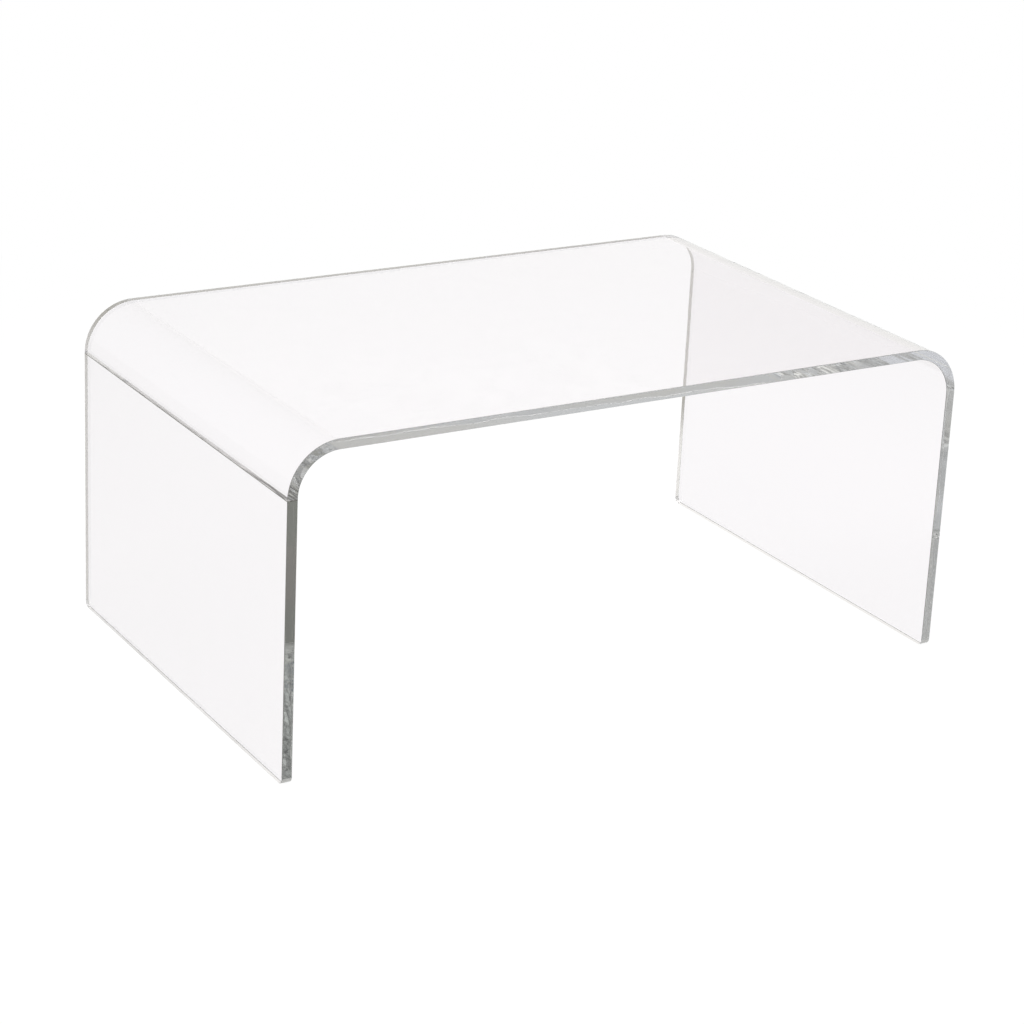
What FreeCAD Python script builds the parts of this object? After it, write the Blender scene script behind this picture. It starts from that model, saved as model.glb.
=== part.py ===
import FreeCAD, Part

import math
import os

import Sketcher
from FreeCAD import Vector

# Waterfall coffee table in clear acrylic sheet, in millimetres.
# X runs along the table, Y from front to back and Z up. The origin is on the floor, under the
# middle of the top. A long sheet is bent down at both ends: it is the top, both bends and the right
# leg. The left leg is a flat panel, cemented under the left bend where that bend ends.

SIZES = {
    # overall
    "table_length": 914.0,
    "table_depth": 559.0,
    "table_height": 400.0,
    # the sheet that every panel is cut from
    "sheet_thickness": 12.7,
    # radius of the former that the sheet is bent over, so it is the inner radius of both bends
    "bend_inside_radius": 50.0,
    # bed of cured cement between the left leg and the bent sheet
    "cement_thickness": 0.8,
    # rounding of the legs' lower corners, seen from the end of the table
    "foot_corner_radius": 8.0,
    # flame-polished rounding along every free edge
    "edge_ease": 0.8,
}

# Cells that follow from the sizes above, each written as a sheet formula.
DERIVED = {
    "half_length": "=table_length / 2",
    "bend_outside_radius": "=bend_inside_radius + sheet_thickness",
    # where the left bend ends, going down, and the joint begins
    "bend_end_level": "=table_height - bend_outside_radius",
    "left_leg_height": "=bend_end_level - cement_thickness",
}

SQUARE_EDGE_TURN = 60.0  # degrees between two faces, above which their edge is a square one
SAME_PLACE = 1e-4  # mm


def new_document():
    return FreeCAD.newDocument("waterfall_table")


def add_sheet(doc):
    """The driving dimensions, one cell each, with the derived cells below them."""
    sheet = doc.addObject("Spreadsheet::Sheet", "Sizes")
    rows = list(SIZES.items()) + list(DERIVED.items())
    for row, (alias, value) in enumerate(rows, start=1):
        sheet.set("A%d" % row, alias)
        sheet.set("B%d" % row, str(value))
        sheet.setAlias("B%d" % row, alias)
    doc.recompute()
    return sheet


def origin_plane(body, role):
    for feature in body.Origin.OriginFeatures:
        if feature.Role == role:
            return feature
    raise ValueError("no origin plane " + role)


def new_body(doc, name):
    body = doc.addObject("PartDesign::Body", name)
    body.Label = name
    return body


def end_view_sketch(body, name):
    """A sketch on the XZ plane: its x is the table's X and its y is the table's Z."""
    sketch = body.newObject("Sketcher::SketchObject", name)
    sketch.AttachmentSupport = [(origin_plane(body, "XZ_Plane"), "")]
    sketch.MapMode = "FlatFace"
    return sketch


def bind(sketch, constraint, expression):
    """Adds a dimension to the sketch and ties it to a cell of the sheet."""
    index = sketch.addConstraint(constraint)
    sketch.setExpression("Constraints[%d]" % index, expression)


def line(x0, y0, x1, y1):
    return Part.LineSegment(Vector(x0, y0, 0), Vector(x1, y1, 0))


def arc(x, y, radius, start_degrees, end_degrees):
    circle = Part.Circle(Vector(x, y, 0), Vector(0, 0, 1), radius)
    return Part.ArcOfCircle(circle, math.radians(start_degrees), math.radians(end_degrees))


START, END, CENTRE = 1, 2, 3  # the points of a line or an arc, as sketch constraints count them
ORIGIN = (-1, 1)


def bent_profile(sketch, cells):
    """The outline of the bent sheet, from its end over the joint to the right foot and back."""
    half = cells.half_length
    top = cells.table_height
    thick = cells.sheet_thickness
    inner = cells.bend_inside_radius
    outer = cells.bend_outside_radius
    level = cells.bend_end_level
    left_x = outer - half
    right_x = half - outer

    outer_left = sketch.addGeometry(arc(left_x, level, outer, 90, 180))
    outer_top = sketch.addGeometry(line(left_x, top, right_x, top))
    outer_right = sketch.addGeometry(arc(right_x, level, outer, 0, 90))
    outer_leg = sketch.addGeometry(line(half, level, half, 0))
    foot = sketch.addGeometry(line(half, 0, half - thick, 0))
    inner_leg = sketch.addGeometry(line(half - thick, 0, half - thick, level))
    inner_right = sketch.addGeometry(arc(right_x, level, inner, 0, 90))
    inner_top = sketch.addGeometry(line(right_x, top - thick, left_x, top - thick))
    inner_left = sketch.addGeometry(arc(left_x, level, inner, 90, 180))
    joint_end = sketch.addGeometry(line(thick - half, level, -half, level))

    smooth = [
        (outer_left, START, outer_top, START),
        (outer_top, END, outer_right, END),
        (outer_right, START, outer_leg, START),
        (inner_leg, END, inner_right, START),
        (inner_right, END, inner_top, START),
        (inner_top, END, inner_left, START),
    ]
    for first, first_point, second, second_point in smooth:
        sketch.addConstraint(
            Sketcher.Constraint("Tangent", first, first_point, second, second_point)
        )
    corners = [
        (outer_leg, END, foot, START),
        (foot, END, inner_leg, START),
        (inner_left, END, joint_end, START),
        (joint_end, END, outer_left, END),
    ]
    for first, first_point, second, second_point in corners:
        sketch.addConstraint(
            Sketcher.Constraint("Coincident", first, first_point, second, second_point)
        )
    for flat in (outer_top, foot, joint_end):
        sketch.addConstraint(Sketcher.Constraint("Horizontal", flat))
    for upright in (outer_leg, inner_leg):
        sketch.addConstraint(Sketcher.Constraint("Vertical", upright))
    # both arcs of a bend share one centre, and the left bend ends level with its centre
    sketch.addConstraint(
        Sketcher.Constraint("Coincident", inner_right, CENTRE, outer_right, CENTRE)
    )
    sketch.addConstraint(
        Sketcher.Constraint("Coincident", inner_left, CENTRE, outer_left, CENTRE)
    )
    sketch.addConstraint(
        Sketcher.Constraint("PointOnObject", outer_left, CENTRE, joint_end)
    )
    sketch.addConstraint(Sketcher.Constraint("PointOnObject", foot, START, -1))

    bind(sketch, Sketcher.Constraint("DistanceX", *ORIGIN, foot, START, half), "Sizes.half_length")
    bind(
        sketch,
        Sketcher.Constraint("DistanceX", joint_end, END, *ORIGIN, half),
        "Sizes.half_length",
    )
    bind(
        sketch,
        Sketcher.Constraint("DistanceY", *ORIGIN, outer_top, START, top),
        "Sizes.table_height",
    )
    bind(
        sketch,
        Sketcher.Constraint("DistanceX", foot, END, foot, START, thick),
        "Sizes.sheet_thickness",
    )
    bind(
        sketch,
        Sketcher.Constraint("Radius", inner_right, inner),
        "Sizes.bend_inside_radius",
    )
    bind(
        sketch,
        Sketcher.Constraint("Radius", inner_left, inner),
        "Sizes.bend_inside_radius",
    )
    bind(
        sketch,
        Sketcher.Constraint("Radius", outer_left, outer),
        "Sizes.bend_outside_radius",
    )


def panel_profile(sketch, cells, bottom_cell, height_cell):
    """A rectangle one sheet thick, flush with the table's left end."""
    left = -cells.half_length
    thick = cells.sheet_thickness
    low = getattr(cells, bottom_cell) if bottom_cell else 0.0
    high = low + getattr(cells, height_cell)

    bottom = sketch.addGeometry(line(left, low, left + thick, low))
    inside = sketch.addGeometry(line(left + thick, low, left + thick, high))
    top = sketch.addGeometry(line(left + thick, high, left, high))
    outside = sketch.addGeometry(line(left, high, left, low))
    loop = [bottom, inside, top, outside]
    for first, second in zip(loop, loop[1:] + loop[:1]):
        sketch.addConstraint(Sketcher.Constraint("Coincident", first, END, second, START))
    for flat in (bottom, top):
        sketch.addConstraint(Sketcher.Constraint("Horizontal", flat))
    for upright in (inside, outside):
        sketch.addConstraint(Sketcher.Constraint("Vertical", upright))

    bind(
        sketch,
        Sketcher.Constraint("DistanceX", bottom, START, *ORIGIN, -left),
        "Sizes.half_length",
    )
    bind(
        sketch,
        Sketcher.Constraint("DistanceX", bottom, START, bottom, END, thick),
        "Sizes.sheet_thickness",
    )
    bind(
        sketch,
        Sketcher.Constraint("DistanceY", inside, START, inside, END, high - low),
        "Sizes." + height_cell,
    )
    if bottom_cell:
        bind(
            sketch,
            Sketcher.Constraint("DistanceY", *ORIGIN, bottom, START, low),
            "Sizes." + bottom_cell,
        )
    else:
        sketch.addConstraint(Sketcher.Constraint("PointOnObject", bottom, START, -1))


def pad_to_depth(body, sketch, name):
    """Stretches the outline over the table's depth, half to the front and half to the back."""
    pad = body.newObject("PartDesign::Pad", name)
    pad.Profile = sketch
    pad.SideType = "Symmetric"
    pad.setExpression("Length", "Sizes.table_depth")
    sketch.Visibility = False
    return pad


def edges_where(shape, wanted):
    return [
        "Edge%d" % number
        for number, edge in enumerate(shape.Edges, start=1)
        if wanted(shape, edge)
    ]


def fillet(body, base, names, radius_cell, name):
    feature = body.newObject("PartDesign::Fillet", name)
    feature.Base = (base, names)
    feature.setExpression("Radius", "Sizes." + radius_cell)
    return feature


def is_foot_corner(cells):
    """The short edges across the sheet at a leg's front and back lower corners."""
    half_depth = cells.table_depth / 2

    def wanted(shape, edge):
        box = edge.BoundBox
        at_floor = box.ZMax < SAME_PLACE
        at_front_or_back = abs(abs(box.Center.y) - half_depth) < SAME_PLACE
        return at_floor and at_front_or_back and box.YLength < SAME_PLACE

    return wanted


def turn_at(shape, edge):
    """Degrees between the two faces that meet at this edge."""
    faces = shape.ancestorsOfType(edge, Part.Face)
    if len(faces) != 2:
        return 0.0
    middle = edge.valueAt((edge.FirstParameter + edge.LastParameter) / 2)
    normals = []
    for face in faces:
        u, v = face.Surface.parameter(middle)
        normals.append(face.normalAt(u, v))
    return math.degrees(normals[0].getAngle(normals[1]))


def is_free_square_edge(joint_level):
    """Square edges, but not those of a face that lies in the cemented joint."""

    def wanted(shape, edge):
        box = edge.BoundBox
        in_joint = abs(box.ZMin - joint_level) < SAME_PLACE and box.ZLength < SAME_PLACE
        return not in_joint and turn_at(shape, edge) > SQUARE_EDGE_TURN

    return wanted


def is_upright_edge(shape, edge):
    box = edge.BoundBox
    return box.XLength < SAME_PLACE and box.YLength < SAME_PLACE


def finish_panel(doc, body, pad, cells, joint_level):
    """Rounds the lower corners of the leg, then eases every free edge."""
    doc.recompute()
    corner_edges = edges_where(pad.Shape, is_foot_corner(cells))
    corners = fillet(body, pad, corner_edges, "foot_corner_radius", body.Name + "_foot_corners")
    doc.recompute()
    square_edges = edges_where(corners.Shape, is_free_square_edge(joint_level))
    fillet(body, corners, square_edges, "edge_ease", body.Name + "_edge_ease")
    doc.recompute()


def make_bent_sheet(doc, cells):
    """Top, both bends and the right leg, formed from one sheet."""
    body = new_body(doc, "bent_sheet")
    sketch = end_view_sketch(body, "bent_sheet_outline")
    bent_profile(sketch, cells)
    pad = pad_to_depth(body, sketch, "bent_sheet_pad")
    finish_panel(doc, body, pad, cells, cells.bend_end_level)
    return body


def make_left_leg(doc, cells):
    """The flat panel under the left bend."""
    body = new_body(doc, "left_leg")
    sketch = end_view_sketch(body, "left_leg_outline")
    panel_profile(sketch, cells, None, "left_leg_height")
    pad = pad_to_depth(body, sketch, "left_leg_pad")
    finish_panel(doc, body, pad, cells, cells.left_leg_height)
    return body


def make_joint_cement(doc, cells):
    """The bed of cement that fills the joint, flush with the eased faces on both sides of it."""
    body = new_body(doc, "joint_cement")
    sketch = end_view_sketch(body, "joint_cement_outline")
    panel_profile(sketch, cells, "left_leg_height", "cement_thickness")
    pad = pad_to_depth(body, sketch, "joint_cement_pad")
    doc.recompute()
    fillet(
        body,
        pad,
        edges_where(pad.Shape, is_upright_edge),
        "edge_ease",
        "joint_cement_edge_ease",
    )
    doc.recompute()
    return body


def check(doc, bodies):
    """Stops before anything is written if a feature failed or a shape is unsound."""
    for item in doc.Objects:
        if "Invalid" in item.State or "Error" in item.State:
            raise RuntimeError("%s failed: %s" % (item.Name, item.State))
    for sketch in doc.findObjects("Sketcher::SketchObject"):
        if sketch.solve() != 0:
            raise RuntimeError(sketch.Name + " does not solve")
    for body in bodies:
        if body.Shape.isNull() or not body.Shape.isValid():
            raise RuntimeError(body.Label + " has no valid shape")


def write_parts(bodies):
    os.makedirs("parts", exist_ok=True)
    for body in bodies:
        body.Shape.exportStep(os.path.join("parts", body.Label + ".step"))
        box = body.Shape.optimalBoundingBox(False, False)
        print(
            "%-14s %9.1f mm3  x %.1f..%.1f  y %.1f..%.1f  z %.1f..%.1f"
            % (
                body.Label,
                body.Shape.Volume,
                box.XMin,
                box.XMax,
                box.YMin,
                box.YMax,
                box.ZMin,
                box.ZMax,
            )
        )


def main():
    doc = new_document()
    cells = add_sheet(doc)
    bodies = [
        make_bent_sheet(doc, cells),
        make_joint_cement(doc, cells),
        make_left_leg(doc, cells),
    ]
    doc.recompute()
    check(doc, bodies)
    write_parts(bodies)


main()
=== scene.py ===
import math
from collections import namedtuple

import bpy
from mathutils import Matrix, Vector


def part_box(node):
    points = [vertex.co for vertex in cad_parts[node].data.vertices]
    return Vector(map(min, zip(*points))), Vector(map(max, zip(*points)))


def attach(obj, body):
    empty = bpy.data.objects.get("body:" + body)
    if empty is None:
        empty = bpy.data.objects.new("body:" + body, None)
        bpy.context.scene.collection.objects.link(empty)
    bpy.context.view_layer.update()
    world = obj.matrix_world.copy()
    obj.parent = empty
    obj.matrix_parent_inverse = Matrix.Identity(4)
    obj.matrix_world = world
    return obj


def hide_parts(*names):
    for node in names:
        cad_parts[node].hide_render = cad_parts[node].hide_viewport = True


# Waterfall coffee table in clear acrylic sheet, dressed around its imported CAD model. Metres, Z up.
# What shows on clear acrylic is its edges: light that enters by one edge runs along inside the sheet,
# turned back by both faces, and leaves by the edge opposite. A coarse mesh scatters that light, so
# both sheets are built here again with finely divided bends, and stand for the CAD's own sheets.

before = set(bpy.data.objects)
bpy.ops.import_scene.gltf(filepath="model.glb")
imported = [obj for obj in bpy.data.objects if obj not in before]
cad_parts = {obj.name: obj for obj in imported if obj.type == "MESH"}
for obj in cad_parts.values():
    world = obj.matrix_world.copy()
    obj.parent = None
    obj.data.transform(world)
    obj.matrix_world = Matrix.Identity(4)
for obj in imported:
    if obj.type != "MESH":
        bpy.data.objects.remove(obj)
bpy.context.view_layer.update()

# ---------------------------------------------------------------- sizes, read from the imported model

_, bent_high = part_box("bent_sheet")
leg_low, leg_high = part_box("left_leg")
_, cement_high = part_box("joint_cement")

HALF_LENGTH = bent_high.x
HALF_DEPTH = bent_high.y
TABLE_HEIGHT = bent_high.z
LEG_HEIGHT = leg_high.z  # of the left leg's own sheet, under the cement
THICKNESS = leg_high.x - leg_low.x
BEND_LEVEL = cement_high.z  # where both bends end, going down
BEND_RADIUS = TABLE_HEIGHT - BEND_LEVEL  # of the outer face
BEND_CENTRE = HALF_LENGTH - BEND_RADIUS  # how far both bends' axes lie from the middle

# finish of the cut edges, as in the CAD but for the easing under the feet, which is flatter here
EDGE_EASE = 0.0008
FOOT_CORNER = 0.008
FOOT_EASE_SHARE = 0.35  # how high the easing reaches under the feet, beside its depth

# thin air on each side of the cement, so that no two clear surfaces coincide
JOINT_GAP = 0.00005

# divisions of the curved stretches
BEND_STEPS = 96
CORNER_STEPS = 10
EASE_STEPS = 5

RIGHT_ANGLE = math.pi / 2

# ---------------------------------------------------------------- the camera, fitted to the photo

CAMERA_AZIMUTH = math.radians(-31.66)
CAMERA_ELEVATION = math.radians(18.98)
CAMERA_ROLL = math.radians(2.73)
CAMERA_DISTANCE = 3.484
CAMERA_TARGET = Vector((0.0, 0.0, 0.1828))
CAMERA_SLIDE = -0.0025  # to the camera's right
CAMERA_RISE = 0.1001
CAMERA_SHIFT = -0.0996
CAMERA_LENS = 98.12  # mm
SENSOR_WIDTH = 36.0  # mm

# ---------------------------------------------------------------- small helpers for shader nodes
# A value, colour or vector given to these is a plain one or another node's socket. A span is the pair
# of values between which something changes.

WHITE = (1.0, 1.0, 1.0, 1.0)
BLACK = (0.0, 0.0, 0.0, 1.0)


def add_node(tree, kind, inputs=None, **settings):
    """A new shader node with its settings, and its inputs set to values or linked to sockets."""
    made = tree.nodes.new(kind)
    for name, value in settings.items():
        setattr(made, name, value)
    for name, value in (inputs or {}).items():
        connect(tree, value, made.inputs[name])
    return made


def connect(tree, value, socket):
    if isinstance(value, bpy.types.NodeSocket):
        tree.links.new(value, socket)
    else:
        socket.default_value = value


def maths(tree, operation, first, second=0.0):
    return add_node(tree, "ShaderNodeMath", {0: first, 1: second}, operation=operation).outputs[0]


def product(tree, first, *others):
    made = first
    for value in others:
        made = maths(tree, "MULTIPLY", made, value)
    return made


def ramp(tree, value, span, at_low, at_high):
    """Eases from at_low to at_high as value goes over the span, and stays level outside it."""
    low, high = span
    inputs = {"Value": value, "From Min": low, "From Max": high, "To Min": at_low, "To Max": at_high}
    made = add_node(tree, "ShaderNodeMapRange", inputs, interpolation_type="SMOOTHSTEP")
    return made.outputs["Result"]


def fade_in(tree, value, span):
    return ramp(tree, value, span, 0.0, 1.0)


def fade_out(tree, value, span):
    return ramp(tree, value, span, 1.0, 0.0)


def mix_values(tree, share, first, second):
    """The first value where share is 0, and the second where it is 1."""
    made = add_node(tree, "ShaderNodeMix", {"Factor": share, 2: first, 3: second}, data_type="FLOAT")
    return made.outputs[0]


def mix_colours(tree, share, first, second):
    made = add_node(tree, "ShaderNodeMix", {"Factor": share, 6: first, 7: second}, data_type="RGBA")
    return made.outputs[2]


def mix_shaders(tree, share, first, second):
    made = add_node(tree, "ShaderNodeMixShader", {0: share, 1: first, 2: second})
    return made.outputs["Shader"]


def grey(tree, value):
    return add_node(tree, "ShaderNodeCombineColor", {0: value, 1: value, 2: value}).outputs[0]


def split(tree, vector):
    """A vector's X, Y and Z."""
    parts = add_node(tree, "ShaderNodeSeparateXYZ", {"Vector": vector}).outputs
    return parts["X"], parts["Y"], parts["Z"]


def scaled(tree, vector, factors):
    made = add_node(tree, "ShaderNodeVectorMath", {0: vector, 1: factors}, operation="MULTIPLY")
    return made.outputs["Vector"]


def distance(tree, place, point):
    made = add_node(tree, "ShaderNodeVectorMath", {0: place, 1: point}, operation="DISTANCE")
    return made.outputs["Value"]


def noise(tree, place, scale, detail, distortion=0.0):
    """Noise from 0 to 1, with scale features to the metre."""
    inputs = {"Vector": place, "Scale": scale, "Detail": detail, "Distortion": distortion}
    return add_node(tree, "ShaderNodeTexNoise", inputs).outputs["Fac"]


def object_place(tree):
    return add_node(tree, "ShaderNodeTexCoord").outputs["Object"]


def attribute(tree, name):
    return add_node(tree, "ShaderNodeAttribute", attribute_name=name).outputs["Fac"]


def new_material(name):
    material = bpy.data.materials.new(name)
    material.use_nodes = True
    tree = material.node_tree
    tree.nodes.clear()
    output = add_node(tree, "ShaderNodeOutputMaterial")
    return material, tree, output


# ---------------------------------------------------------------- materials

ACRYLIC_IOR = 1.49

# the surface's relief, in metres: all over, in the bends and the margin heated with them, on the feet
CASTING_WAVES = 0.00008
BEND_WAVES = 0.0001
HEATED_MARGIN = 0.03
SAW_WAVES = 0.00016
SAWN_HEIGHT = 0.0006  # above this there is nothing of the saw's waves

# how many features each relief has to the metre
CASTING_SCALE = 14.0
BEND_SCALE = 22.0
SAW_SCALE = 30.0

# the edges are polished, and the round corners at the foot are sanded. Clarity is the share of light
# that passes the surface, and the rest is scattered
FACE_TINT = (0.956, 0.938, 0.952, 1.0)
EDGE_ROUGHNESS = 0.02
EDGE_CLARITY = 0.92
SANDED_TINT = (0.75, 0.75, 0.73, 1.0)
SANDED_ROUGHNESS = 0.35
SANDED_CLARITY = 0.35

# the underside of the feet, with its easing, is untinted and quite clear
UNDERSIDE_SPAN = (EDGE_EASE * 0.8, EDGE_EASE * 1.2)

# the face that was cemented is dull. Behind its front stretch, which ends 6 to 12 cm in, its inner
# side is nearly clear, from 0.4 to 0.8 of the thickness on
JOINT_TINT = (0.62, 0.61, 0.57, 1.0)
JOINT_ROUGHNESS = 0.05
JOINT_CLARITY = 0.6
INNER_JOINT_TINT = (0.90, 0.89, 0.86, 1.0)
INNER_JOINT_CLARITY = 0.95
INNER_JOINT_SPAN = (THICKNESS * 0.4 - HALF_LENGTH, THICKNESS * 0.8 - HALF_LENGTH)
JOINT_FRONT_SPAN = (0.06 - HALF_DEPTH, 0.12 - HALF_DEPTH)

# patches of that face that the cement wetted: features to the metre, and how much narrower they are
# across the sheet than along the joint
PATCH_SCALE = 16.0
PATCH_SQUEEZE = 10.0
PATCH_RIM = (0.45, 0.54)  # of the noise
FRONT_PATCHES = 0.85  # how strongly they show near the front
DEEP_PATCHES = 0.4
INNER_PATCHES = 0.25  # share of that on the inner side

# what passes through the sheet's faces and its edges, for lamps and dull surfaces
FACE_SHADOW = (0.96, 0.96, 0.96, 1.0)
EDGE_SHADOW = (0.75, 0.75, 0.75, 1.0)

# cement: its tone varies between two, and its bubbles are paler
DEEP_CEMENT = (0.40, 0.38, 0.31, 1.0)
PALE_CEMENT = (0.50, 0.48, 0.41, 1.0)
BUBBLE_TINT = (0.62, 0.61, 0.56, 1.0)
CEMENT_CLOUD_SCALE = 60.0
CEMENT_ROUGHNESS = 0.3
CEMENT_CLARITY = 0.85
BUBBLE_SCALE = 900.0  # to the metre
BUBBLE_RIM = (0.1, 0.35)  # from a bubble's middle, as a share of the space between bubbles
BUBBLE_RELIEF = 0.0002
BUBBLE_STRENGTH = 0.3


def resin(tree, tint, roughness, clarity, bump):
    """Acrylic or its cement, with the finish that those values give."""
    inputs = {
        "Base Color": tint,
        "Roughness": roughness,
        "IOR": ACRYLIC_IOR,
        "Transmission Weight": clarity,
        "Normal": bump.outputs["Normal"],
    }
    return add_node(tree, "ShaderNodeBsdfPrincipled", inputs).outputs["BSDF"]


def lamps_pass(tree, glass, tint):
    """The same glass, but rays from dull surfaces and lamps go straight through it, tinted. So the
    table throws the faint clean shadow of clear sheet, with darker lines under its edges."""
    path = add_node(tree, "ShaderNodeLightPath").outputs
    light = maths(tree, "MAXIMUM", path["Is Shadow Ray"], path["Is Diffuse Ray"])
    window = add_node(tree, "ShaderNodeBsdfTransparent", {"Color": tint})
    return mix_shaders(tree, light, glass, window.outputs["BSDF"])


def surface_relief(tree, place):
    """Height of the surface in metres: a trace of casting waviness all over, more where the sheet was
    heated for its bends, and the low waves that sawing left on the faces of the feet."""
    x, _, z = split(tree, place)
    casting = product(tree, noise(tree, place, CASTING_SCALE, detail=1.0), CASTING_WAVES)

    beyond = maths(tree, "ABSOLUTE", x)
    heated = ramp(tree, beyond, (BEND_CENTRE - HEATED_MARGIN, BEND_CENTRE), 0.0, BEND_WAVES)
    heated = product(tree, heated, fade_in(tree, z, (BEND_LEVEL - HEATED_MARGIN, BEND_LEVEL)))
    bends = product(tree, noise(tree, place, BEND_SCALE, detail=1.0, distortion=0.5), heated)

    sawn = ramp(tree, z, (0.0, SAWN_HEIGHT), SAW_WAVES, 0.0)
    saw = product(tree, noise(tree, place, SAW_SCALE, detail=0.5), sawn)
    return maths(tree, "ADD", casting, maths(tree, "ADD", bends, saw))


def sanded_corners(tree, y, z):
    """1 on the round corners at the foot, and 0 elsewhere on the edges."""
    inner_end = HALF_DEPTH - FOOT_CORNER
    beside = fade_in(tree, maths(tree, "ABSOLUTE", y), (inner_end, inner_end + FOOT_CORNER * 0.1))
    low_down = fade_out(tree, z, (FOOT_CORNER * 0.9, FOOT_CORNER))
    return product(tree, beside, low_down)


def wetted_patches(tree, place, behind_front, inner_side):
    """Share of the cemented face that shows the cement itself, patch by patch."""
    squeezed = scaled(tree, place, (PATCH_SQUEEZE, 1.0, 1.0))
    patches = fade_in(tree, noise(tree, squeezed, PATCH_SCALE, detail=3.0, distortion=1.5), PATCH_RIM)
    strength = mix_values(tree, behind_front, FRONT_PATCHES, DEEP_PATCHES)
    return product(tree, patches, strength, mix_values(tree, inner_side, 1.0, INNER_PATCHES))


def clear_acrylic(name, absorption, edge_colour, wetted_colour):
    """Cast acrylic: flat clear faces with a trace of casting waviness, flame-polished edges, sanded
    round corners at the foot, and a dull face where it was cemented, with patches that the cement
    wetted. The body of the sheet takes a little light over its depth."""
    material, tree, output = new_material(name)
    edge = attribute(tree, "edge")
    joint = attribute(tree, "joint_face")
    place = object_place(tree)
    x, y, z = split(tree, place)

    sanded = product(tree, edge, sanded_corners(tree, y, z))
    underside = fade_out(tree, z, UNDERSIDE_SPAN)
    behind_front = fade_in(tree, y, JOINT_FRONT_SPAN)
    inner_side = product(tree, fade_in(tree, x, INNER_JOINT_SPAN), behind_front)
    wetted = product(tree, joint, wetted_patches(tree, place, behind_front, inner_side))

    tint = mix_colours(tree, edge, FACE_TINT, edge_colour)
    tint = mix_colours(tree, sanded, tint, SANDED_TINT)
    tint = mix_colours(tree, underside, tint, WHITE)
    joint_tint = mix_colours(tree, inner_side, JOINT_TINT, INNER_JOINT_TINT)
    tint = mix_colours(tree, joint, tint, joint_tint)

    roughness = mix_values(tree, joint, product(tree, edge, EDGE_ROUGHNESS), JOINT_ROUGHNESS)
    roughness = mix_values(tree, sanded, roughness, SANDED_ROUGHNESS)

    clarity = mix_values(tree, edge, 1.0, EDGE_CLARITY)
    clarity = mix_values(tree, sanded, clarity, SANDED_CLARITY)
    clarity = mix_values(tree, underside, clarity, 1.0)
    joint_clarity = mix_values(tree, inner_side, JOINT_CLARITY, INNER_JOINT_CLARITY)
    clarity = mix_values(tree, joint, clarity, joint_clarity)

    relief = surface_relief(tree, place)
    bump = add_node(tree, "ShaderNodeBump", {"Height": relief, "Strength": 1.0, "Distance": 1.0})
    glass = resin(tree, tint, roughness, clarity, bump)
    cement_seen = add_node(tree, "ShaderNodeBsdfDiffuse", {"Color": wetted_colour})
    body = mix_shaders(tree, wetted, glass, cement_seen.outputs["BSDF"])
    surface = lamps_pass(tree, body, mix_colours(tree, edge, FACE_SHADOW, EDGE_SHADOW))
    connect(tree, surface, output.inputs["Surface"])
    depth = add_node(tree, "ShaderNodeVolumeAbsorption", {"Color": absorption, "Density": 1.0})
    connect(tree, depth.outputs["Volume"], output.inputs["Volume"])
    return material


def cured_cement(name):
    """Hardened solvent cement: yellowish grey, half clear, with fine bubbles."""
    material, tree, output = new_material(name)
    place = object_place(tree)
    bubbles = add_node(tree, "ShaderNodeTexVoronoi", {"Vector": place, "Scale": BUBBLE_SCALE})
    specks = fade_out(tree, bubbles.outputs["Distance"], BUBBLE_RIM)
    clouds = noise(tree, place, CEMENT_CLOUD_SCALE, detail=3.0)
    tint = mix_colours(tree, clouds, DEEP_CEMENT, PALE_CEMENT)
    tint = mix_colours(tree, specks, tint, BUBBLE_TINT)
    swelling = {"Height": specks, "Strength": BUBBLE_STRENGTH, "Distance": BUBBLE_RELIEF}
    bump = add_node(tree, "ShaderNodeBump", swelling)
    surface = resin(tree, tint, CEMENT_ROUGHNESS, CEMENT_CLARITY, bump)
    connect(tree, surface, output.inputs["Surface"])
    return material


# ---------------------------------------------------------------- the sheets

# a place along a sheet: a point of its outer face's centre line, the way that the face looks there,
# and the way along the sheet, away from the foot
Station = namedtuple("Station", "point outward along")

# a step over a sheet's edge: the depth below the outer face, how far the eased edge stands back, and
# its normal's parts along the edge's own outward way and along the face's
EdgeStep = namedtuple("EdgeStep", "depth back sideways facing")

# a point of the sheet's outline: its station, the way from there along the sheet, the half width
# there, the normal's parts along and sideways, and the easing's height beside its depth
OutlinePoint = namedtuple("OutlinePoint", "station way half_width normal_along normal_side flattened")


def foot_station(x):
    return Station(Vector((x, 0, 0)), Vector((math.copysign(1, x), 0, 0)), Vector((0, 0, 1)))


def bend_stations(centre_x, start, end):
    """Stations round a bend, from angle start to angle end, measured up from the +X axis."""
    made = []
    for step in range(BEND_STEPS + 1):
        angle = start + (end - start) * step / BEND_STEPS
        outward = Vector((math.cos(angle), 0, math.sin(angle)))
        along = Vector((-math.sin(angle), 0, math.cos(angle)))
        point = Vector((centre_x, 0, BEND_LEVEL)) + outward * BEND_RADIUS
        made.append(Station(point, outward, along))
    return made


def edge_steps():
    """The steps over a sheet's edge, from its outer face to its inner one."""
    near_outer_face = []
    for count in range(EASE_STEPS + 1):
        turn = RIGHT_ANGLE * (1 - count / EASE_STEPS)
        sideways = math.cos(turn)
        facing = math.sin(turn)
        near_outer_face.append(
            EdgeStep(EDGE_EASE * (1 - facing), EDGE_EASE * (1 - sideways), sideways, facing)
        )
    near_inner_face = [
        EdgeStep(THICKNESS - step.depth, step.back, step.sideways, -step.facing)
        for step in reversed(near_outer_face)
    ]
    return near_outer_face + near_inner_face


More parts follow.
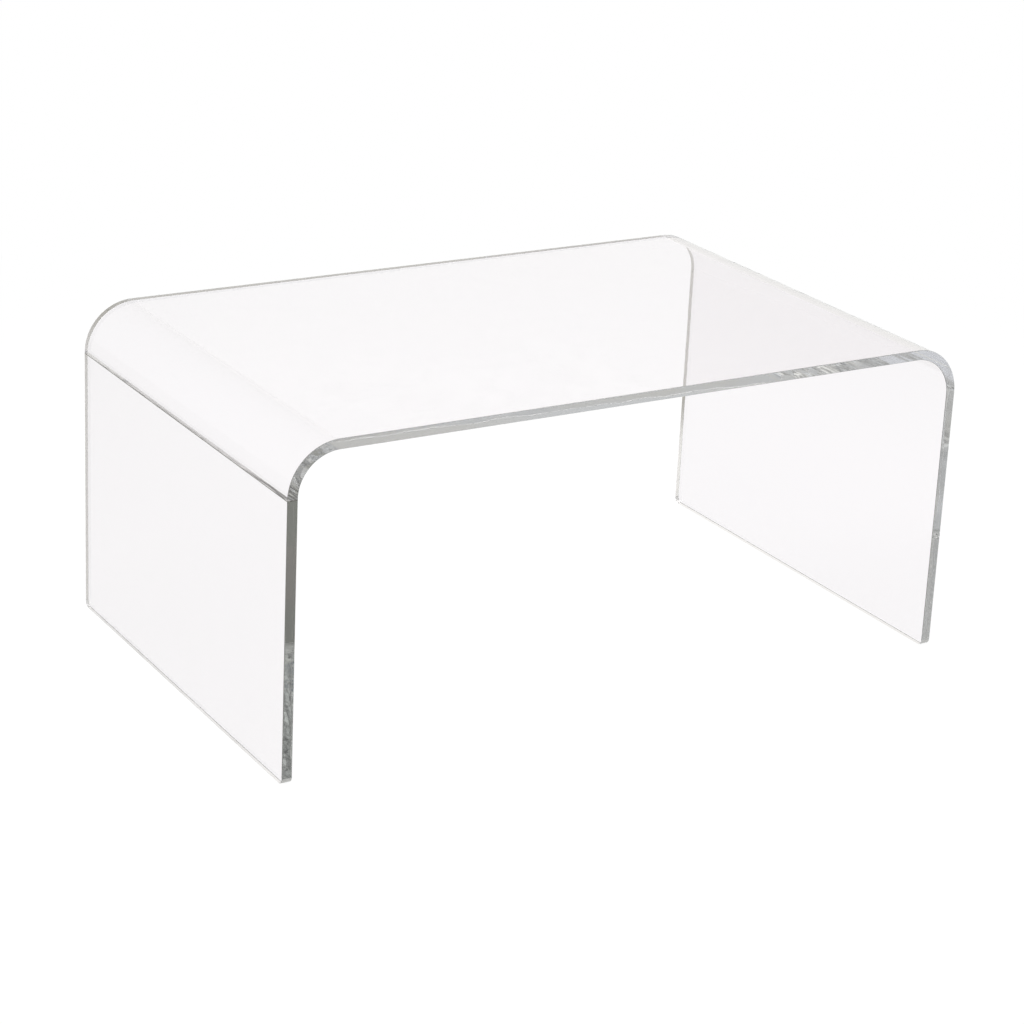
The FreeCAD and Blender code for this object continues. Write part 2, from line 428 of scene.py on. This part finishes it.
def outline(stations, back):
    """One long side of the sheet's outline, which stands back by that much, from the underside of
    the foot, where its rounded corner starts, to the other end."""
    foot = stations[0]
    points = []
    for step in range(CORNER_STEPS + 1):
        turn = RIGHT_ANGLE * step / CORNER_STEPS
        way = FOOT_CORNER - (FOOT_CORNER - back * FOOT_EASE_SHARE) * math.cos(turn)
        half_width = HALF_DEPTH - FOOT_CORNER + (FOOT_CORNER - back) * math.sin(turn)
        flattened = FOOT_EASE_SHARE + (1 - FOOT_EASE_SHARE) * math.sin(turn) ** 2
        points.append(OutlinePoint(foot, way, half_width, -math.cos(turn), math.sin(turn), flattened))
    for station in stations[1:]:
        points.append(OutlinePoint(station, 0.0, HALF_DEPTH - back, 0.0, 1.0, 1.0))
    return points


def sheet_points(stations):
    """Every vertex with its normal and its share of edge, level by level, front side then back."""
    places, normals, edges = [], [], []
    for level in edge_steps():
        for side in (-1, 1):
            across = Vector((0, side, 0))
            for point in outline(stations, level.back):
                station = point.station
                place = station.point + station.along * point.way + across * point.half_width
                places.append(place - station.outward * level.depth)
                normal = station.along * point.normal_along + across * point.normal_side
                facing = station.outward * level.facing * point.flattened
                normals.append((normal * level.sideways + facing).normalized())
                edges.append(level.sideways)
    return places, normals, edges


def sheet_faces(levels, count):
    """Faces over the vertices of sheet_points, as it counts them, and the number of them that lie
    in the square end, which come last."""

    def vertex(level, side, step):
        return (level * 2 + side) * count + step

    front, back = 0, 1
    last = levels - 1
    faces = []
    for step in range(count - 1):
        following = step + 1
        outer = [(0, front, step), (0, back, step), (0, back, following), (0, front, following)]
        inner = [(last, side, place) for _, side, place in reversed(outer)]
        faces += [outer, inner]
        for level in range(last):
            wall = [(level, step), (level, following), (level + 1, following), (level + 1, step)]
            faces.append([(depth, front, place) for depth, place in wall])
            faces.append([(depth, back, place) for depth, place in reversed(wall)])
    for level in range(last):
        foot = [(level, front), (level + 1, front), (level + 1, back), (level, back)]
        faces.append([(depth, side, 0) for depth, side in foot])
    end = count - 1
    for level in range(last):
        cap = [(level, front), (level, back), (level + 1, back), (level + 1, front)]
        faces.append([(depth, side, end) for depth, side in cap])
    return [[vertex(*corner) for corner in face] for face in faces], last


def make_sheet(name, stations):
    """A clear sheet along those stations, eased along its free edges and square at its last end."""
    places, normals, edges = sheet_points(stations)
    levels = len(edge_steps())
    count = len(places) // (levels * 2)
    faces, cap_count = sheet_faces(levels, count)
    foot = stations[0]
    if foot.outward.cross(foot.along).y > 0:
        faces = [face[::-1] for face in faces]

    mesh = bpy.data.meshes.new(name)
    mesh.from_pydata(places, [], faces)
    first_cap = len(faces) - cap_count
    end_normal = stations[-1].along
    corner_normals = []
    for polygon in mesh.polygons:
        polygon.use_smooth = True
        for vertex in polygon.vertices:
            corner_normals.append(end_normal if polygon.index >= first_cap else normals[vertex])
    mesh.attributes.new("edge", "FLOAT", "POINT").data.foreach_set("value", edges)
    joint = [0.0] * first_cap + [1.0] * cap_count
    mesh.attributes.new("joint_face", "FLOAT", "FACE").data.foreach_set("value", joint)
    mesh.normals_split_custom_set(corner_normals)

    sheet = bpy.data.objects.new(name, mesh)
    bpy.context.scene.collection.objects.link(sheet)
    return sheet


def make_bent_sheet():
    """Right leg, right bend, top and left bend, in that order, ending over the joint."""
    joint_angle = math.pi - JOINT_GAP / BEND_RADIUS
    stations = [foot_station(HALF_LENGTH)]
    stations += bend_stations(BEND_CENTRE, 0.0, RIGHT_ANGLE)
    stations += bend_stations(-BEND_CENTRE, RIGHT_ANGLE, joint_angle)
    sheet = make_sheet("clear_bent_sheet", stations)
    material = clear_acrylic(
        "bent_acrylic",
        absorption=(0.90, 0.91, 0.90, 1.0),
        edge_colour=(0.90, 0.90, 0.90, 1.0),
        wetted_colour=(0.08, 0.075, 0.07, 1.0),
    )
    sheet.data.materials.append(material)
    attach(sheet, "root")
    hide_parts("bent_sheet")


def make_left_leg():
    foot = foot_station(-HALF_LENGTH)
    top = Station(foot.point + Vector((0, 0, LEG_HEIGHT - JOINT_GAP)), foot.outward, foot.along)
    leg = make_sheet("clear_left_leg", [foot, top])
    # painted shade: the leg's edge tint is darker and its absorption stronger than the bent sheet's,
    # for the darker look of its edges
    material = clear_acrylic(
        "leg_acrylic",
        absorption=(0.80, 0.82, 0.79, 1.0),
        edge_colour=(0.60, 0.61, 0.59, 1.0),
        wetted_colour=(0.50, 0.49, 0.46, 1.0),
    )
    leg.data.materials.append(material)
    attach(leg, "root")
    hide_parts("left_leg")


def dress_cement():
    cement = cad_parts["joint_cement"]
    cement.data.materials.clear()
    cement.data.materials.append(cured_cement("cement"))


# ---------------------------------------------------------------- the studio's tones, painted reflections
# The studio is white, but it shows painted tones to light that was turned back inside the acrylic,
# and these painted reflections are what colours the acrylic's edges: a near tone to a ray that was
# turned back once inside it, and a far tone to one that ran along inside it. Spans are in metres on
# the floor, and parts of a ray's unit direction in the surround.

# how bright the studio is for dull surfaces, beside its lamps
DULL_LIGHT = 0.5

# shades of the far tones turn a little warm here and cool there
WARM_SHADE = (1.0, 0.99, 0.96, 1.0)
COOL_SHADE = (0.985, 1.0, 1.02, 1.0)
SHADE_TURNS = (0.40, 0.60)

NOISE_MIDDLE = (0.3, 0.7)  # the span that noise mostly keeps to


def turned_back(tree, path):
    """Whether a ray that went into the acrylic was turned back in it: (once, more often). Depths are
    whole numbers, so the limits lie halfway between two of them."""
    inside = maths(tree, "GREATER_THAN", path["Transmission Depth"], 0.5)
    turns = path["Glossy Depth"]
    often = maths(tree, "MULTIPLY", inside, maths(tree, "GREATER_THAN", turns, 1.5))
    ever = maths(tree, "MULTIPLY", inside, maths(tree, "GREATER_THAN", turns, 0.5))
    return maths(tree, "SUBTRACT", ever, often), often


def seen(tree, path):
    """1 for rays that meet the white background: from the camera, mirrored or through glass."""
    direct = maths(tree, "MAXIMUM", path["Is Camera Ray"], path["Is Glossy Ray"])
    return maths(tree, "MAXIMUM", direct, path["Is Transmission Ray"])


def studio_colour(tree, once, often, near, far):
    """White, or the painted reflection tone for the rays that turned_back tells apart."""
    colour = mix_colours(tree, once, WHITE, near)
    return mix_colours(tree, often, colour, far)


def shaded(tree, place, scale, value):
    """That grey, a little warm here and cool there."""
    side = fade_in(tree, noise(tree, place, scale, detail=1.0), SHADE_TURNS)
    return scaled(tree, mix_colours(tree, side, WARM_SHADE, COOL_SHADE), grey(tree, value))


def swings(tree, place, scale, detail, distortion, reach):
    """Clouds that swing as far below 0 as above it, as far as reach says."""
    clouds = noise(tree, place, scale, detail, distortion)
    return product(tree, ramp(tree, clouds, NOISE_MIDDLE, -1.0, 1.0), reach)


# ---------------------------------------------------------------- the surround

# painted reflection tones, seen only by rays that ran along inside the acrylic: low down it is a
# wall, dim on the left and brighter to the right in two steps
WALL_TONE = 0.34
RIGHT_WALL_TONE = 0.56
FAR_RIGHT_GAIN = 0.11
RIGHT_WALL_SPAN = (0.2, 0.4)
FAR_RIGHT_SPAN = (0.40, 0.55)

# over it lies a cloudy ceiling, also painted for the reflections, darker in a band left of the
# middle, and calm far to the sides
CEILING_SPAN = (0.34, 0.375)
CEILING_TONE = 0.45
DUSK_TONE = 0.28
DUSK_STARTS = (-0.40, -0.36)
DUSK_ENDS = (-0.05, 0.05)
CLOUD_SCALE = 80.0
CLOUD_REACH = 0.42
CALM_REACH = 0.06
CALM_SPAN = (0.45, 0.58)
SURROUND_SHADE_SCALE = 9.0

# a thin dark line crosses the painted ceiling, fainter on the left, and shows as a dark mark in the
# edges
STREAK_TONE = (0.06, 0.09, 0.15, 1.0)
STREAK_LOWER_RIM = (0.4105, 0.413)
STREAK_UPPER_RIM = (0.4145, 0.417)
STREAK_ENDS = (0.43, 0.46)
STREAK_LEFT_SHARE = 0.6
STREAK_GROWS = (-0.1, 0.1)

# the near tone, a painted reflection for rays turned back once inside the acrylic, is cream, and a
# little dimmer on both sides of a bright strip
CREAM = (1.0, 0.99, 0.96, 1.0)
STRIP_LEFT_RIM = (0.37, 0.42)
STRIP_RIGHT_RIM = (0.55, 0.61)
LEFT_OF_STRIP = 0.85
RIGHT_OF_STRIP = 0.93


# painted reflection: the tone that rays which ran along inside the acrylic meet in the surround
def surround_far_painted_reflection(tree, way):
    x, _, z = split(tree, way)
    beside = maths(tree, "ABSOLUTE", x)
    wall = ramp(tree, x, RIGHT_WALL_SPAN, WALL_TONE, RIGHT_WALL_TONE)
    wall = maths(tree, "ADD", wall, ramp(tree, x, FAR_RIGHT_SPAN, 0.0, FAR_RIGHT_GAIN))

    reach = ramp(tree, beside, CALM_SPAN, CLOUD_REACH, CALM_REACH)
    clouds = swings(tree, way, CLOUD_SCALE, detail=1.0, distortion=1.0, reach=reach)
    dusk = product(tree, fade_in(tree, x, DUSK_STARTS), fade_out(tree, x, DUSK_ENDS))
    ceiling = maths(tree, "ADD", clouds, mix_values(tree, dusk, CEILING_TONE, DUSK_TONE))
    tone = mix_values(tree, fade_in(tree, z, CEILING_SPAN), wall, ceiling)

    streak = product(
        tree,
        fade_in(tree, z, STREAK_LOWER_RIM),
        fade_out(tree, z, STREAK_UPPER_RIM),
        fade_out(tree, beside, STREAK_ENDS),
        ramp(tree, x, STREAK_GROWS, STREAK_LEFT_SHARE, 1.0),
    )
    return mix_colours(tree, streak, shaded(tree, way, SURROUND_SHADE_SCALE, tone), STREAK_TONE)


# painted reflection: the tone that rays turned back once inside the acrylic meet in the surround
def surround_near_painted_reflection(tree, way):
    x, _, _ = split(tree, way)
    from_left = ramp(tree, x, STRIP_LEFT_RIM, LEFT_OF_STRIP, 1.0)
    to_right = ramp(tree, x, STRIP_RIGHT_RIM, 1.0, RIGHT_OF_STRIP)
    return mix_colours(tree, product(tree, from_left, to_right), BLACK, CREAM)


def make_world():
    """A white surround, with a soft even light for dull surfaces. To rays turned back inside the
    acrylic
    it shows painted tones instead: painted reflections for the acrylic's edges.
    """
    world = bpy.data.worlds.new("studio")
    bpy.context.scene.world = world
    world.use_nodes = True
    tree = world.node_tree
    tree.nodes.clear()
    output = add_node(tree, "ShaderNodeOutputWorld")
    path = add_node(tree, "ShaderNodeLightPath").outputs
    way = add_node(tree, "ShaderNodeTexCoord").outputs["Generated"]
    once, often = turned_back(tree, path)
    near = surround_near_painted_reflection(tree, way)
    far = surround_far_painted_reflection(tree, way)
    colour = studio_colour(tree, once, often, near, far)
    level = mix_values(tree, seen(tree, path), DULL_LIGHT, 1.0)
    background = add_node(tree, "ShaderNodeBackground", {"Color": colour, "Strength": level})
    connect(tree, background.outputs["Background"], output.inputs["Surface"])


# ---------------------------------------------------------------- the floor

FLOOR_HALF_WIDTH = 8.0
FLOOR_LEVEL = -0.0002  # a hair under the feet, so that their faces stay clear ones

# its look near the table: a share that glows white, and a matt share that takes the shadow; further
# off, all of it glows
FLOOR_GLOW = 0.83
FLOOR_MATT = 0.22
GLOW_FILLS = (0.8, 1.8)  # from the table's middle
TABLE_MIDDLE = (0.0, 0.0, 0.0)

# painted reflection, seen only by rays that ran along inside the acrylic: the far tone on the right
# is brighter behind, with swirls between the table and the back
RIGHT_FLOOR_TONE = 0.48
LIT_FLOOR_TONE = 0.59
LIT_BEHIND = (0.85, 1.0)
LIT_RIGHT = (0.28, 0.40)
LIT_FROM = (0.52, 0.62)
SWIRL_SCALE = 15.0
SWIRL_REACH = 0.50
QUIET_REACH = 0.03  # beside the table
SWIRLS_START = (0.50, 0.62)
SWIRLS_WANE = (0.90, 1.1)
WANED_SHARE = 0.10
SWIRLS_END_RIGHT = (0.68, 0.75)
SWIRLS_START_LEFT = (0.12, 0.22)
OUTSIDE_SHARE = 0.05
# painted shade in the reflections: the far tone darkens far behind, towards the left
CORNER_DROP = 0.08  # how much darker it is far behind, towards the left
CORNER_BEHIND = (1.0, 1.2)
CORNER_LEFT = (0.25, 0.6)
FLOOR_SHADE_SCALE = 5.0
# painted highlight: a pale spot in the far tone round GLEAM_PLACE, which shows as a glint in the
# edges
GLEAM_TONE = (0.74, 0.75, 0.80, 1.0)
GLEAM_PLACE = (0.45, 0.44, 0.0)
GLEAM_RIM = (0.05, 0.13)

# painted reflection: the far tone on the left is dark olive grey, with an umber stretch, and brighter
# towards the back
LEFT_FLOOR_TONE = (0.255, 0.255, 0.235, 1.0)
UMBER_TONE = (0.29, 0.262, 0.25, 1.0)
UMBER_STARTS = (0.37, 0.43)
UMBER_ENDS = (0.55, 0.62)
LEFT_BRIGHTENS = (0.28, 0.70)
LEFT_FRONT_SHARE = 0.88
LEFT_BACK_SHARE = 1.12
LEFT_TO_RIGHT = (-0.16, 0.04)

# painted reflection near tones, for rays turned back once inside the acrylic: of the front half, of
# the back half, of the left side, and at the back of the right side
FRONT_NEAR_TONE = (0.40, 0.39, 0.34, 1.0)
BACK_NEAR_TONE = (0.74, 0.73, 0.70, 1.0)
LEFT_NEAR_TONE = (0.66, 0.65, 0.62, 1.0)
RIGHT_NEAR_TONE = (0.93, 0.93, 0.88, 1.0)
FRONT_TO_BACK = (-0.1, 0.15)
NEAR_LEFT_ENDS = (-0.15, 0.1)
NEAR_RIGHT_STARTS = (0.35, 0.55)


def floor_right_painted_reflection(tree, place, x, y):
    reach = product(
        tree,
        ramp(tree, y, SWIRLS_START, QUIET_REACH, SWIRL_REACH),
        ramp(tree, y, SWIRLS_WANE, 1.0, WANED_SHARE),
        ramp(tree, x, SWIRLS_END_RIGHT, 1.0, OUTSIDE_SHARE),
        ramp(tree, x, SWIRLS_START_LEFT, OUTSIDE_SHARE, 1.0),
    )
    swirls = swings(tree, place, SWIRL_SCALE, detail=2.0, distortion=1.5, reach=reach)
    lit = maths(tree, "MAXIMUM", fade_in(tree, y, LIT_BEHIND), fade_in(tree, x, LIT_RIGHT))
    lit = product(tree, lit, fade_in(tree, y, LIT_FROM))
    tone = maths(tree, "ADD", mix_values(tree, lit, RIGHT_FLOOR_TONE, LIT_FLOOR_TONE), swirls)
    corner = product(tree, fade_in(tree, y, CORNER_BEHIND), fade_out(tree, x, CORNER_LEFT))
    tone = maths(tree, "SUBTRACT", tone, product(tree, corner, CORNER_DROP))
    gleam = fade_out(tree, distance(tree, place, GLEAM_PLACE), GLEAM_RIM)
    return mix_colours(tree, gleam, shaded(tree, place, FLOOR_SHADE_SCALE, tone), GLEAM_TONE)


def floor_left_painted_reflection(tree, y):
    umber = product(tree, fade_in(tree, y, UMBER_STARTS), fade_out(tree, y, UMBER_ENDS))
    tone = mix_colours(tree, umber, LEFT_FLOOR_TONE, UMBER_TONE)
    depth = ramp(tree, y, LEFT_BRIGHTENS, LEFT_FRONT_SHARE, LEFT_BACK_SHARE)
    return scaled(tree, tone, grey(tree, depth))


def floor_near_painted_reflection(tree, x, y):
    behind = fade_in(tree, y, FRONT_TO_BACK)
    tone = mix_colours(tree, behind, FRONT_NEAR_TONE, BACK_NEAR_TONE)
    tone = mix_colours(tree, fade_in(tree, x, NEAR_LEFT_ENDS), LEFT_NEAR_TONE, tone)
    to_right = product(tree, behind, fade_in(tree, x, NEAR_RIGHT_STARTS))
    return mix_colours(tree, to_right, tone, RIGHT_NEAR_TONE)


def floor_material():
    """Plain and pale. It shows white, and keeps the table's faint shadow. To rays turned back inside
    the
    acrylic it shows painted tones instead: painted reflections for the acrylic's edges.
    """
    material, tree, output = new_material("floor")
    path = add_node(tree, "ShaderNodeLightPath").outputs
    place = add_node(tree, "ShaderNodeNewGeometry").outputs["Position"]
    x, y, _ = split(tree, place)
    once, often = turned_back(tree, path)
    right = floor_right_painted_reflection(tree, place, x, y)
    far = mix_colours(tree, fade_in(tree, x, LEFT_TO_RIGHT), floor_left_painted_reflection(tree, y), right)
    colour = studio_colour(tree, once, often, floor_near_painted_reflection(tree, x, y), far)

    far_off = fade_in(tree, distance(tree, place, TABLE_MIDDLE), GLOW_FILLS)
    plain = maths(tree, "MAXIMUM", maths(tree, "MAXIMUM", once, often), far_off)
    glow = mix_values(tree, plain, FLOOR_GLOW, 1.0)
    glow = mix_values(tree, seen(tree, path), DULL_LIGHT, glow)
    shine = add_node(tree, "ShaderNodeEmission", {"Color": colour, "Strength": glow})
    matt_tone = grey(tree, mix_values(tree, plain, FLOOR_MATT, 0.0))
    matt = add_node(tree, "ShaderNodeBsdfDiffuse", {"Color": matt_tone})
    both = add_node(tree, "ShaderNodeAddShader", {0: matt.outputs[0], 1: shine.outputs[0]})
    connect(tree, both.outputs[0], output.inputs["Surface"])
    return material


def make_floor():
    half = FLOOR_HALF_WIDTH
    square = [(-half, -half), (half, -half), (half, half), (-half, half)]
    mesh = bpy.data.meshes.new("floor")
    mesh.from_pydata([(x, y, FLOOR_LEVEL) for x, y in square], [], [(0, 1, 2, 3)])
    mesh.materials.append(floor_material())
    floor = bpy.data.objects.new("floor", mesh)
    bpy.context.scene.collection.objects.link(floor)


# ---------------------------------------------------------------- lamps, camera and render settings

LIGHT_BOUNCES = 64  # enough for light that runs the sheet's whole depth inside it


def add_softbox(name, place, size, power):
    """A large soft lamp that looks at the table. The camera doesn't see it."""
    lamp = bpy.data.lights.new(name, "AREA")
    lamp.size = size
    lamp.energy = power
    box = bpy.data.objects.new(name, lamp)
    bpy.context.scene.collection.objects.link(box)
    box.location = place
    box.rotation_mode = "QUATERNION"
    box.rotation_quaternion = (CAMERA_TARGET - Vector(place)).to_track_quat("-Z", "Y")
    box.visible_camera = False


def make_camera():
    azimuth, elevation = CAMERA_AZIMUTH, CAMERA_ELEVATION
    level = math.cos(elevation)
    backward = Vector((math.sin(azimuth) * level, -math.cos(azimuth) * level, math.sin(elevation)))
    right = (-backward).cross(Vector((0, 0, 1))).normalized()
    up = backward.cross(right)
    rolled_right = right * math.cos(CAMERA_ROLL) + up * math.sin(CAMERA_ROLL)
    rolled_up = up * math.cos(CAMERA_ROLL) - right * math.sin(CAMERA_ROLL)
    data = bpy.data.cameras.new("camera")
    data.sensor_width = SENSOR_WIDTH
    data.lens = CAMERA_LENS
    data.shift_y = CAMERA_SHIFT
    camera = bpy.data.objects.new("camera", data)
    bpy.context.scene.collection.objects.link(camera)
    turned = Matrix((rolled_right, rolled_up, backward)).transposed().to_4x4()
    place = CAMERA_TARGET + backward * CAMERA_DISTANCE
    place += rolled_right * CAMERA_SLIDE + rolled_up * CAMERA_RISE
    camera.matrix_world = Matrix.Translation(place) @ turned
    bpy.context.scene.camera = camera


def set_up_render():
    scene = bpy.context.scene
    scene.view_settings.view_transform = "Standard"
    scene.cycles.max_bounces = LIGHT_BOUNCES
    scene.cycles.glossy_bounces = LIGHT_BOUNCES
    scene.cycles.transmission_bounces = LIGHT_BOUNCES


# ---------------------------------------------------------------- building the scene

make_camera()
make_bent_sheet()
make_left_leg()
dress_cement()
make_world()
make_floor()
add_softbox("key_light", place=(-1.6, -1.2, 3.2), size=3.0, power=60.0)
add_softbox("fill_light", place=(2.2, 0.4, 2.8), size=2.5, power=25.0)
set_up_render()

bpy.context.view_layer.update()
